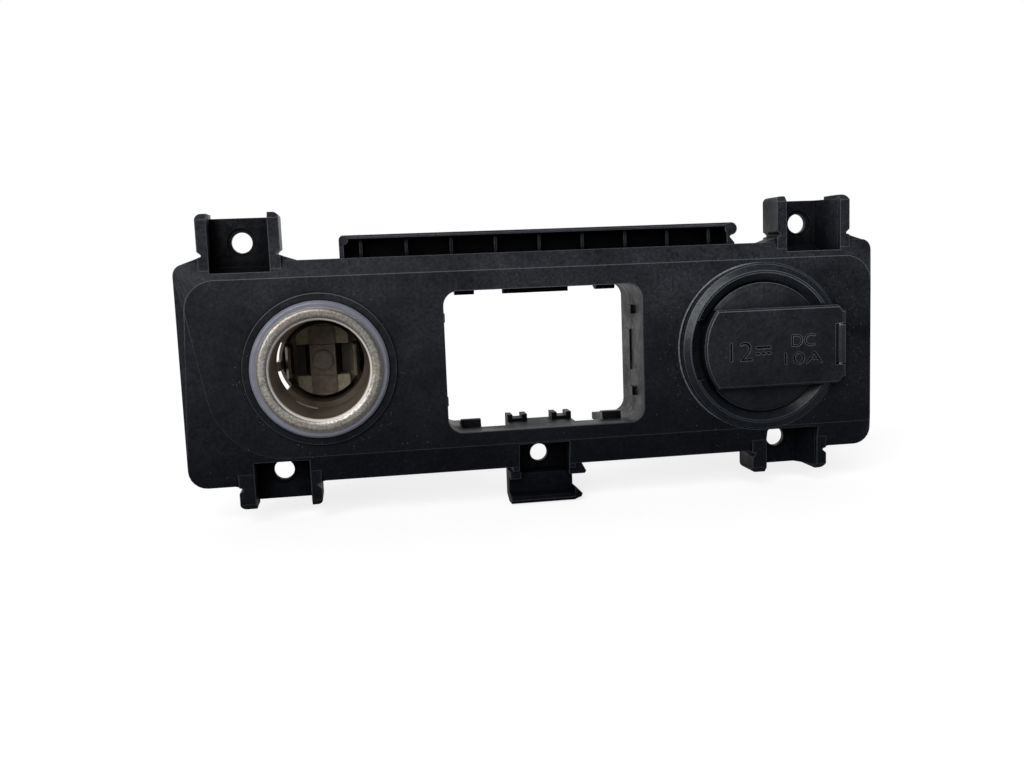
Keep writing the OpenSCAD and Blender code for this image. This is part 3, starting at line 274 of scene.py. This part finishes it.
def moulded_black(
    name,
    dark,
    pale,
    roughness,
    grain,
    dust,
    edge_wear_highlight_colour,
    gloss=0.3,
    recess_shade_share=0.85,
    highlight_top_z=5 * MM,
    rings=(),
    painted_rims=(),
    walls=(),
):
    """Moulded black plastic: two close tones in a mottle, a fine grain as bump, dust with its rings, painted
    rims, stains on the walls of the given openings, and a painted highlight on outer edges, with some
    wear, palest above the height highlight_top_z. Painted shade makes it darker and duller by the
    recess_shade_share where the surroundings close in, and its reflection is duller in stains and, as
    painted shade, towards the bottom."""
    made, tree, out = new_material(name)
    place = add_node(tree, "TexCoord").outputs["Object"]
    axes = add_node(tree, "SeparateXYZ", {0: place}).outputs
    # Soft clouds and dust patches of a few centimetres, and stains of 1.6 mm. The mottle of 0.7 mm, the
    # grain of 0.28 mm and the dust's cells of 0.55 mm are drawn coarser than the real ones of about
    # 0.1 mm, which would not show at this size.
    clouds = add_node(
        tree, "TexNoise", {"Vector": place, "Scale": 1 / (14 * MM), "Detail": 4.0, "Roughness": 0.6}
    )
    haze = add_node(
        tree, "TexNoise", {"Vector": place, "Scale": 1 / (24 * MM), "Detail": 6.0, "Roughness": 0.72}
    )
    mottle = add_node(
        tree, "TexNoise", {"Vector": place, "Scale": 1 / (0.7 * MM), "Detail": 3.0, "Roughness": 0.7}
    )
    stains = add_node(
        tree, "TexNoise", {"Vector": place, "Scale": 1 / (1.6 * MM), "Detail": 5.0, "Roughness": 0.75}
    )
    fine = add_node(tree, "TexNoise", {"Vector": place, "Scale": 1 / (0.28 * MM), "Detail": 2.0})
    tone = add_node(tree, "MapRange", {0: mottle, 1: 0.3, 2: 0.7})
    tone = add_node(tree, "Mix", {"Factor": tone, "A": linear(dark), "B": linear(pale)}, data_type="RGBA")
    colour = dusted(tree, place, tone, (clouds, haze, mottle), dust, rings)
    # Painted rim highlights with their strips of painted shade.
    for line in painted_rims:
        colour = rim_highlight_and_shade(tree, place, colour, mottle, *line)
    # A pale painted highlight on outer edges, with some wear: strong on the front, weaker below
    # highlight_top_z and near the very top.
    rounded, edges = edge_wear_and_highlight(tree, radius=0.3 * MM, gain=6.5)
    for part in (
        add_node(tree, "MapRange", {0: axes["Y"], 1: 1.8 * MM, 2: 5 * MM, 3: 1.0, 4: 0.12}),
        add_node(tree, "MapRange", {0: axes["Z"], 1: highlight_top_z - 12 * MM, 2: highlight_top_z, 3: 0.3}),
        add_node(tree, "MapRange", {0: axes["Z"], 1: 19 * MM, 2: 22 * MM, 3: 1.0, 4: 0.5}),
    ):
        edges = add_node(tree, "Math", {0: edges, 1: part}, operation="MULTIPLY")
    colour = add_node(tree, "Mix", {"Factor": edges, "A": colour, "B": linear(edge_wear_highlight_colour)}, data_type="RGBA")
    # Painted shade: darker where the surroundings close in, by recess_shade_share.
    inside = add_node(tree, "AmbientOcclusion", {"Distance": 8 * MM}, samples=8).outputs["AO"]
    painted_recess_shade = add_node(tree, "MapRange", {0: inside, 1: 0.35, 2: 0.95, 3: recess_shade_share, 4: 0.0})
    colour = add_node(tree, "Mix", {"Factor": painted_recess_shade, "A": colour, "B": linear("#030304")}, data_type="RGBA")
    for wall in walls:
        colour = stained_walls(tree, place, colour, stains, *wall)
    # Reflection share: lower in stains, and painted down as shade behind the front, towards the bottom and in
    # recesses.
    stained = add_node(tree, "MapRange", {0: axes["Y"], 1: 0.5 * MM, 2: 3 * MM, 3: 0.55, 4: 0.2})
    shine = add_node(tree, "MapRange", {0: stains, 1: 0.36, 2: 0.56, 3: stained})
    dimmed_towards_bottom = add_node(tree, "MapRange", {0: axes["Z"], 1: -22 * MM, 2: 2 * MM, 3: 0.5})
    shine = add_node(tree, "Math", {0: shine, 1: dimmed_towards_bottom}, operation="MULTIPLY")
    shine = add_node(tree, "Mix", {"Factor": painted_recess_shade, "A": shine, "B": (0, 0, 0, 1)}, data_type="RGBA")
    sheen = add_node(tree, "MapRange", {0: clouds, 1: 0.3, 2: 0.7, 3: roughness - 0.05, 4: roughness + 0.06})
    behind = add_node(tree, "MapRange", {0: axes["Y"], 1: 0.5 * MM, 2: 3 * MM})
    duller = add_node(tree, "MapRange", {0: haze, 1: 0.45, 2: 0.6, 3: -0.08, 4: 0.1})
    sheen = add_node(tree, "Math", {0: behind, 1: duller, 2: sheen}, operation="MULTIPLY_ADD", use_clamp=True)
    bump = add_node(tree, "Bump", {"Height": fine, "Distance": grain, "Strength": 0.6, "Normal": rounded})
    body = {
        "Base Color": colour,
        "Roughness": sheen,
        "IOR": 1.5,
        "Specular IOR Level": gloss,
        "Specular Tint": shine,
        "Normal": bump,
    }
    tree.links.new(add_node(tree, "BsdfPrincipled", body).outputs[0], out.inputs["Surface"])
    return made


# Dust gathers round the pad and round the bezel, in rings of x, z, radius and width. A thin pale line
# is seen on the face outside the bezel's left half, and it is painted there as a highlight of the
# bezel's rim, with a dark strip of painted shade inside it. The opening is given by its middle, half
# width and half height.
pad_ring = (0.0, 0.0, 17.2 * MM, 2.6 * MM)
bezel_ring = (98.9 * MM, -0.3 * MM, 21 * MM, 5 * MM)
bezel_rim_highlight = (97.75 * MM, 0.0, 18.62 * MM, 1.1 * MM)
opening = (48.85 * MM, 22 * MM, 15 * MM)
nodes["panel"].data.materials[0] = moulded_black(
    "moulded_black_abs",
    "#06070a",
    "#0e1017",
    roughness=0.46,
    grain=0.05 * MM,
    dust=0.8,
    edge_wear_highlight_colour="#757b84",
    gloss=0.142,
    highlight_top_z=16 * MM,
    rings=(pad_ring, bezel_ring),
    painted_rims=(bezel_rim_highlight,),
    walls=(opening,),
)

# Light ring
# A clear lilac-tinted polycarbonate moulding between the metal rim and the pad, with a sleeve that
# carries the lamp's light forward. It is unlit here, so it shows as a milky lilac-grey band.
light_ring, tree, out = new_material("lilac_polycarbonate")
place = add_node(tree, "TexCoord").outputs["Object"]
cloud = add_node(tree, "TexNoise", {"Vector": place, "Scale": 1 / (3 * MM), "Detail": 3.0})
tint = add_node(
    tree, "Mix", {"Factor": cloud, "A": linear("#6f707d"), "B": linear("#91939f")}, data_type="RGBA"
)
# Edges get a pale bluish painted highlight.
rounded, edges = edge_wear_and_highlight(tree, radius=0.35 * MM, gain=2.0)
tint = add_node(tree, "Mix", {"Factor": edges, "A": tint, "B": linear("#a3abc4")}, data_type="RGBA")
clear = {"Base Color": tint, "Roughness": 0.24, "IOR": 1.58, "Transmission Weight": 0.3, "Normal": rounded}
tree.links.new(add_node(tree, "BsdfPrincipled", clear).outputs[0], out.inputs["Surface"])
nodes["lighter_light_ring"].data.materials[0] = light_ring

# Socket shells
# Deep-drawn steel sheet with a satin nickel plate: a rolled flange, the full bore and a narrow end.
# The mouth's lip and the flange's outer line carry painted highlights, a painted glint lies low in the
# bore, the flange is mottled and painted darker at its top as shade, and heat has browned the plate
# down the bore, whose left wall is painted paler as light.
# One material serves both shells: X is wrapped into the two sockets' own middles for the rings.
half_pitch = 49.45 * MM
nickel, tree, out = new_material("satin_nickel_plate")
place = add_node(tree, "TexCoord").outputs["Object"]
axes = add_node(tree, "SeparateXYZ", {0: place}).outputs
across_x = add_node(tree, "Math", {0: axes["X"], 1: half_pitch, 2: -half_pitch}, operation="WRAP")
own_place = add_node(tree, "CombineXYZ", {"X": across_x, "Z": axes["Z"]})
radius = add_node(tree, "VectorMath", {0: own_place}, operation="LENGTH")
mottle = add_node(
    tree, "TexNoise", {"Vector": place, "Scale": 1 / (0.4 * MM), "Detail": 4.0, "Roughness": 0.8}
)
blotch = add_node(tree, "TexNoise", {"Vector": place, "Scale": 1 / (4 * MM), "Detail": 4.0, "Roughness": 0.6})
# The plate: mottled, with brown blotches, and darker towards the top as painted shade.
speckled = add_node(tree, "MapRange", {0: mottle, 1: 0.32, 2: 0.68})
blotched = add_node(tree, "MapRange", {0: blotch, 1: 0.5, 2: 0.75, 4: 0.5})
painted_top_shade = add_node(tree, "MapRange", {0: axes["Z"], 1: 2 * MM, 2: 12 * MM, 4: 0.45})
plate = add_node(
    tree, "Mix", {"Factor": speckled, "A": linear("#514d47"), "B": linear("#c6c2bb")}, data_type="RGBA"
)
plate = add_node(tree, "Mix", {"Factor": blotched, "A": plate, "B": linear("#94826f")}, data_type="RGBA")
plate = add_node(tree, "Mix", {"Factor": painted_top_shade, "A": plate, "B": linear("#5f5a53")}, data_type="RGBA")
# The bore: brown from heat, and paler on its left wall as painted light.
sooty = add_node(tree, "MapRange", {0: blotch, 1: 0.3, 2: 0.7})
left = add_node(tree, "MapRange", {0: across_x, 1: -10 * MM, 2: -3 * MM, 3: 0.8, 4: 0.0})
down = add_node(tree, "MapRange", {0: axes["Y"], 1: -1.7 * MM, 2: 0.2 * MM, 4: 0.92})
heat_brown_and_painted_light = add_node(
    tree, "Mix", {"Factor": sooty, "A": linear("#5a4d40"), "B": linear("#7d7061")}, data_type="RGBA"
)
heat_brown_and_painted_light = add_node(tree, "Mix", {"Factor": left, "A": heat_brown_and_painted_light, "B": linear("#dccdbd")}, data_type="RGBA")
colour = add_node(tree, "Mix", {"Factor": down, "A": plate, "B": heat_brown_and_painted_light}, data_type="RGBA")
# Painted highlights: pale lines on the mouth's inner lip and the flange's outer line.
lip = add_node(tree, "MapRange", {0: radius, 1: 10.85 * MM, 2: 11 * MM, 3: 1.0, 4: 0.0})
lip_depth = add_node(tree, "MapRange", {0: axes["Y"], 1: -1.5 * MM, 2: -1.2 * MM, 3: 1.0, 4: 0.0})
lip = add_node(tree, "Math", {0: lip, 1: lip_depth}, operation="MULTIPLY")
rim = add_node(tree, "MapRange", {0: radius, 1: 12.95 * MM, 2: 13.2 * MM})
rim_depth = add_node(tree, "MapRange", {0: axes["Y"], 1: -2.1 * MM, 2: -1.6 * MM, 3: 1.0, 4: 0.2})
rim = add_node(tree, "Math", {0: rim, 1: rim_depth}, operation="MULTIPLY")
painted_highlight_lines = add_node(tree, "Math", {0: lip, 1: rim}, operation="MAXIMUM")
colour = add_node(tree, "Mix", {"Factor": painted_highlight_lines, "A": colour, "B": linear("#f2eee6")}, data_type="RGBA")
# Edges deep in the bore get a pale painted highlight.
rounded, edges = edge_wear_and_highlight(tree, radius=0.3 * MM, gain=2.0)
deep_down = add_node(tree, "MapRange", {0: axes["Y"], 1: 10 * MM, 2: 16 * MM})
edges = add_node(tree, "Math", {0: edges, 1: deep_down}, operation="MULTIPLY")
colour = add_node(tree, "Mix", {"Factor": edges, "A": colour, "B": linear("#d5cbbd")}, data_type="RGBA")
# A painted glint low on the left of the bore, between two angles and two depths.
angle = add_node(tree, "Math", {0: axes["Z"], 1: axes["X"]}, operation="ARCTAN2")
painted_glint = add_node(tree, "MapRange", {0: angle, 1: -2.22, 2: -2.19})
for part in (
    add_node(tree, "MapRange", {0: angle, 1: -1.74, 2: -1.71, 3: 1.0, 4: 0.0}),
    add_node(tree, "MapRange", {0: axes["Y"], 1: 13.8 * MM, 2: 14 * MM}),
    add_node(tree, "MapRange", {0: axes["Y"], 1: 15.6 * MM, 2: 15.8 * MM, 3: 1.0, 4: 0.0}),
):
    painted_glint = add_node(tree, "Math", {0: painted_glint, 1: part}, operation="MULTIPLY")
colour = add_node(tree, "Mix", {"Factor": painted_glint, "A": colour, "B": linear("#f6f2ea")}, data_type="RGBA")
# Bare metal on the flange, half covered down the bore, and a plain pale tone on the lip and the
# glint, which are painted highlights.
catching = add_node(tree, "Math", {0: lip, 1: 0.7}, operation="MULTIPLY")
catching = add_node(tree, "Math", {0: painted_glint, 1: catching}, operation="MAXIMUM")
bare = add_node(tree, "MapRange", {0: axes["Y"], 1: -1.7 * MM, 2: 0.2 * MM, 3: 1.0, 4: 0.5})
bare = add_node(tree, "Math", {0: bare, 1: catching}, operation="SUBTRACT", use_clamp=True)
rough = add_node(tree, "MapRange", {0: mottle, 1: 0.3, 2: 0.7, 3: 0.5, 4: 0.34})
relief = add_node(tree, "Bump", {"Height": mottle, "Distance": 0.03 * MM, "Strength": 0.6, "Normal": rounded})
metal = {"Base Color": colour, "Metallic": bare, "Roughness": rough, "Normal": relief}
tree.links.new(add_node(tree, "BsdfPrincipled", metal).outputs[0], out.inputs["Surface"])
nodes["outlet_shell"].data.materials[0] = nickel
nodes["lighter_shell"].data.materials[0] = nickel


# Contacts
# Spring clips of heat-browned strip, rivets of dull steel and insulators pressed from phenolic
# board, at the bottom of each bore. They look dull and brown: the lighter clip's arms are darkened
# nearly black as painted shade, and its rivet has a painted highlight ring.
def small_part(
    name,
    dark,
    pale,
    size,
    roughness,
    metallic=0.0,
    relief_depth=0.02 * MM,
    edge_wear_highlight_colour=None,
    painted_arm_shade=0.0,
    highlight_ring_at=0.0,
):
    """A worn small part: two tones in clouds of the given size, a faint relief and rounded edges, lightened
    to the edge colour as painted highlight with some wear if there is one. On the lighter socket's axis
    it can have a strip at each side that is darkened as painted shade by the painted_arm_shade share,
    and a painted highlight ring of the radius highlight_ring_at."""
    made, tree, out = new_material(name)
    place = add_node(tree, "TexCoord").outputs["Object"]
    cloud = add_node(tree, "TexNoise", {"Vector": place, "Scale": 1 / size, "Detail": 5.0, "Roughness": 0.65})
    tone = add_node(tree, "MapRange", {0: cloud, 1: 0.3, 2: 0.7})
    colour = add_node(tree, "Mix", {"Factor": tone, "A": linear(dark), "B": linear(pale)}, data_type="RGBA")
    rounded, edges = edge_wear_and_highlight(tree, radius=0.15 * MM, gain=2.2)
    # Painted shade: the arms' strips darkened nearly black.
    if painted_arm_shade:
        sideways = add_node(tree, "SeparateXYZ", {0: place}).outputs["X"]
        sideways = add_node(tree, "Math", {0: sideways}, operation="ABSOLUTE")
        inner = add_node(tree, "MapRange", {0: sideways, 1: 3.3 * MM, 2: 3.5 * MM, 4: painted_arm_shade})
        outer = add_node(tree, "MapRange", {0: sideways, 1: 6 * MM, 2: 6.9 * MM, 3: 1.0, 4: 0.0})
        shaded_arms = add_node(tree, "Math", {0: inner, 1: outer}, operation="MULTIPLY")
        colour = add_node(
            tree, "Mix", {"Factor": shaded_arms, "A": colour, "B": linear("#20201a")}, data_type="RGBA"
        )
    # Painted highlight: a pale ring on the rivet's head.
    if highlight_ring_at:
        away = outside_circle(tree, place, 0.0, 0.0, highlight_ring_at)
        away = add_node(tree, "Math", {0: away}, operation="ABSOLUTE")
        ring_highlight = add_node(tree, "MapRange", {0: away, 1: 0.1 * MM, 2: 0.25 * MM, 3: 0.6, 4: 0.0})
        edges = add_node(tree, "Math", {0: edges, 1: ring_highlight}, operation="MAXIMUM")
    if edge_wear_highlight_colour:
        colour = add_node(
            tree, "Mix", {"Factor": edges, "A": colour, "B": linear(edge_wear_highlight_colour)}, data_type="RGBA"
        )
    sheen = add_node(tree, "MapRange", {0: cloud, 1: 0.3, 2: 0.7, 3: roughness - 0.06, 4: roughness + 0.06})
    relief = add_node(
        tree, "Bump", {"Height": cloud, "Distance": relief_depth, "Strength": 0.5, "Normal": rounded}
    )
    body = {"Base Color": colour, "Roughness": sheen, "Metallic": metallic, "Normal": relief}
    tree.links.new(add_node(tree, "BsdfPrincipled", body).outputs[0], out.inputs["Surface"])
    return made


nodes["lighter_contact_clip"].data.materials[0] = small_part(
    "heat_browned_strip",
    "#433a30",
    "#6b5e51",
    size=1.2 * MM,
    roughness=0.42,
    metallic=0.5,
    edge_wear_highlight_colour="#9d9182",
    painted_arm_shade=0.75,
)
phenolic = small_part(
    "pressed_phenolic", "#706a55", "#a09a80", size=0.7 * MM, roughness=0.55, edge_wear_highlight_colour="#b5b09a"
)
rivet_steel = small_part(
    "dull_rivet_steel",
    "#403a33",
    "#6b6156",
    size=0.5 * MM,
    roughness=0.4,
    metallic=0.4,
    relief_depth=0.06 * MM,
    edge_wear_highlight_colour="#b8ad9f",
    highlight_ring_at=2.15 * MM,
)
for name in ("lighter", "outlet"):
    nodes[name + "_insulator"].data.materials[0] = phenolic
    nodes[name + "_rivet"].data.materials[0] = rivet_steel
brass = small_part(
    "stamped_brass", "#a08548", "#c9ad68", size=2 * MM, roughness=0.32, metallic=1.0, edge_wear_highlight_colour="#e0cb90"
)
for name in ("outlet_contact_clip", "lighter_positive_blade", "outlet_positive_blade"):
    nodes[name].data.materials[0] = brass
tinned = small_part(
    "tinned_strip", "#9c9a94", "#c8c6c0", size=1.8 * MM, roughness=0.35, metallic=1.0, edge_wear_highlight_colour="#dddbd6"
)
for name in ("lighter_ground_blade", "outlet_ground_blade"):
    nodes[name].data.materials[0] = tinned

# Connectors and lamp
# Glass-filled nylon shrouds round the two blades behind each socket, and a natural nylon lamp
# housing beside the light ring's sleeve that holds a small glass capsule bulb. The shrouds look like
# the panel but cleaner, the housing is cream, and the capsule is clear and almost uncoloured.
nodes["lighter_connector"].data.materials[0] = moulded_black(
    "brown_nylon", "#231b16", "#33291f", roughness=0.46, grain=0.03 * MM, dust=0.3, edge_wear_highlight_colour="#54473c"
)
nodes["outlet_connector"].data.materials[0] = moulded_black(
    "black_nylon", "#121315", "#1c1e21", roughness=0.46, grain=0.03 * MM, dust=0.3, edge_wear_highlight_colour="#3c3f44"
)
nodes["lamp_housing"].data.materials[0] = small_part(
    "natural_nylon", "#c9c0a6", "#ddd6c2", size=4 * MM, roughness=0.45, edge_wear_highlight_colour="#ece6d6"
)
bulb_glass, tree, out = new_material("capsule_glass")
glass = {"Base Color": linear("#eef2ee"), "Roughness": 0.03, "IOR": 1.5, "Transmission Weight": 0.9}
tree.links.new(add_node(tree, "BsdfPrincipled", glass).outputs[0], out.inputs["Surface"])
nodes["lamp_bulb"].data.materials[0] = bulb_glass

# Outlet bezel and hinge pin
# A black polypropylene ring with a smoother, glossier surface than the panel, snapped in from the
# front, so it catches a sharper light. The wire that the lid turns on is plain drawn steel.
nodes["outlet_bezel"].data.materials[0] = moulded_black(
    "satin_black_bezel",
    "#0a0c10",
    "#14181e",
    roughness=0.27,
    grain=0.012 * MM,
    dust=0.6,
    edge_wear_highlight_colour="#76808a",
    recess_shade_share=0.3,
)
nodes["hinge_pin"].data.materials[0] = small_part(
    "drawn_steel_wire", "#8a8a88", "#b0b0ae", size=1 * MM, roughness=0.3, metallic=1.0
)


# Lid
# One black moulding, a disc with a band across it and a plug ring behind, dusty and with painted edge
# highlights like the panel but smoother. Its band is engraved 0.3 mm deep with a generic rating in
# plain numbers and the direct-current sign, and the floors of the marks are darker, as painted shade,
# and free of dust.
def new_object(name, mesh):
    """A new object for the mesh, at the origin and unturned."""
    made = bpy.data.objects.new(name, mesh)
    bpy.context.scene.collection.objects.link(made)
    return made


def joined_copy(name, node):
    """A CAD node's loose triangles joined at shared corners: a closed mesh that stores no normals."""
    shape = bmesh.new()
    shape.from_mesh(node.data)
    bmesh.ops.remove_doubles(shape, verts=shape.verts, dist=1e-6)
    joined = bpy.data.meshes.new(name + "_joined")
    shape.to_mesh(joined)
    shape.free()
    places = np.zeros(len(joined.vertices) * 3)
    corners = np.zeros(len(joined.loops), dtype=np.int32)
    joined.vertices.foreach_get("co", places)
    joined.loops.foreach_get("vertex_index", corners)
    bpy.data.meshes.remove(joined)
    mesh = bpy.data.meshes.new(name)
    mesh.from_pydata(places.reshape(-1, 3).tolist(), [], corners.reshape(-1, 3).tolist())
    return new_object(name, mesh)


def pointed_outwards(name, mesh):
    """The mesh with its doubles merged and its faces turned outwards, as an object."""
    shape = bmesh.new()
    shape.from_mesh(mesh)
    bmesh.ops.remove_doubles(shape, verts=shape.verts, dist=1e-6)
    bmesh.ops.recalc_face_normals(shape, faces=shape.faces)
    shape.to_mesh(mesh)
    shape.free()
    return new_object(name, mesh)


def lettering(words, low, high, front, back):
    """Words as a closed solid that fills a box: each point's share of the way across the font's outlines
    is its share of the way across the box, in X, Z and depth."""
    curve = bpy.data.curves.new(words, "FONT")
    curve.body = words
    curve.extrude = 0.5
    # Slightly thinner strokes, which keeps the outlines of the figure 2 from crossing.
    curve.offset = -0.018
    drawn = new_object(words, curve)
    bpy.context.view_layer.update()
    mesh = bpy.data.meshes.new_from_object(drawn.evaluated_get(bpy.context.evaluated_depsgraph_get()))
    bpy.data.objects.remove(drawn)
    flat = np.zeros(len(mesh.vertices) * 3)
    mesh.vertices.foreach_get("co", flat)
    flat = flat.reshape(-1, 3)
    unit = (flat - flat.min(axis=0)) / np.ptp(flat, axis=0)
    placed = np.stack(
        [
            low[0] + unit[:, 0] * (high[0] - low[0]),
            back + unit[:, 2] * (front - back),
            low[1] + unit[:, 1] * (high[1] - low[1]),
        ],
        axis=1,
    )
    mesh.vertices.foreach_set("co", placed.ravel())
    return pointed_outwards("cut_" + words, mesh)


def bar(low, high, front, back):
    """A closed box between two corners in X and Z and two depths."""
    x, y, z = np.meshgrid([low[0], high[0]], [front, back], [low[1], high[1]], indexing="ij")
    corners = np.stack([x.ravel(), y.ravel(), z.ravel()], axis=1)
    faces = [(0, 1, 3, 2), (4, 6, 7, 5), (0, 4, 5, 1), (2, 3, 7, 6), (0, 2, 6, 4), (1, 5, 7, 3)]
    mesh = bpy.data.meshes.new("bar")
    mesh.from_pydata(corners.tolist(), [], faces)
    return pointed_outwards("cut_bar", mesh)


def carve(piece, cutters):
    """Takes the cutters' volumes away from the piece and leaves one applied mesh."""
    for cutter in cutters:
        cut = piece.modifiers.new("cut", "BOOLEAN")
        cut.operation = "DIFFERENCE"
        cut.solver = "MANIFOLD"
        cut.object = cutter
    bpy.context.view_layer.update()
    mesh = bpy.data.meshes.new_from_object(piece.evaluated_get(bpy.context.evaluated_depsgraph_get()))
    piece.modifiers.clear()
    piece.data = mesh
    for cutter in cutters:
        bpy.data.objects.remove(cutter)


band_front = -2.9 * MM
mark_depth = 0.3 * MM
cut_front = band_front - 0.5 * MM
cut_back = band_front + mark_depth
marked_lid = joined_copy("lid_marked", nodes["lid"])
# The direct-current sign is a long bar over three dashes.
sign_left = 96.2 * MM
dash_width = 0.8 * MM
dash_pitch = 1.3 * MM
sign_right = sign_left + 2 * dash_pitch + dash_width
dashes = [
    bar((left, -1.75 * MM), (left + dash_width, -1.3 * MM), cut_front, cut_back)
    for left in sign_left + dash_pitch * np.arange(3)
]
carve(
    marked_lid,
    [
        lettering("12", (90.1 * MM, -3.1 * MM), (95.2 * MM, 1.1 * MM), cut_front, cut_back),
        bar((sign_left, -0.4 * MM), (sign_right, 0.05 * MM), cut_front, cut_back),
        *dashes,
        lettering("DC", (104.6 * MM, -0.3 * MM), (110.2 * MM, 2.3 * MM), cut_front, cut_back),
        lettering("10A", (102.9 * MM, -4.3 * MM), (111.9 * MM, -1.7 * MM), cut_front, cut_back),
    ],
)
marked_lid.data.shade_smooth()
marked_lid.data.set_sharp_from_angle(angle=np.radians(20))
marked_lid.data.materials.clear()
marked_lid.data.materials.append(
    moulded_black(
        "satin_black_lid",
        "#0a0c0f",
        "#13151a",
        roughness=0.42,
        grain=0.03 * MM,
        dust=1.0,
        edge_wear_highlight_colour="#727982",
        gloss=0.25,
    )
)
# The floors of the marks: darker as painted shade, and with little dust.
marked_lid.data.materials.append(
    moulded_black(
        "engraved_black_lid",
        "#060708",
        "#0a0b0d",
        roughness=0.55,
        grain=0.03 * MM,
        dust=0.1,
        edge_wear_highlight_colour="#16181b",
        gloss=0.2,
    )
)
count = len(marked_lid.data.polygons)
middles = np.zeros(count * 3)
facing = np.zeros(count * 3)
marked_lid.data.polygons.foreach_get("center", middles)
marked_lid.data.polygons.foreach_get("normal", facing)
sunk = (np.abs(middles.reshape(-1, 3)[:, 1] - cut_back) < 0.02 * MM) & (facing.reshape(-1, 3)[:, 1] < -0.9)
marked_lid.data.polygons.foreach_set("material_index", sunk.astype(np.int32))
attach(marked_lid, "flap")
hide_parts("lid")
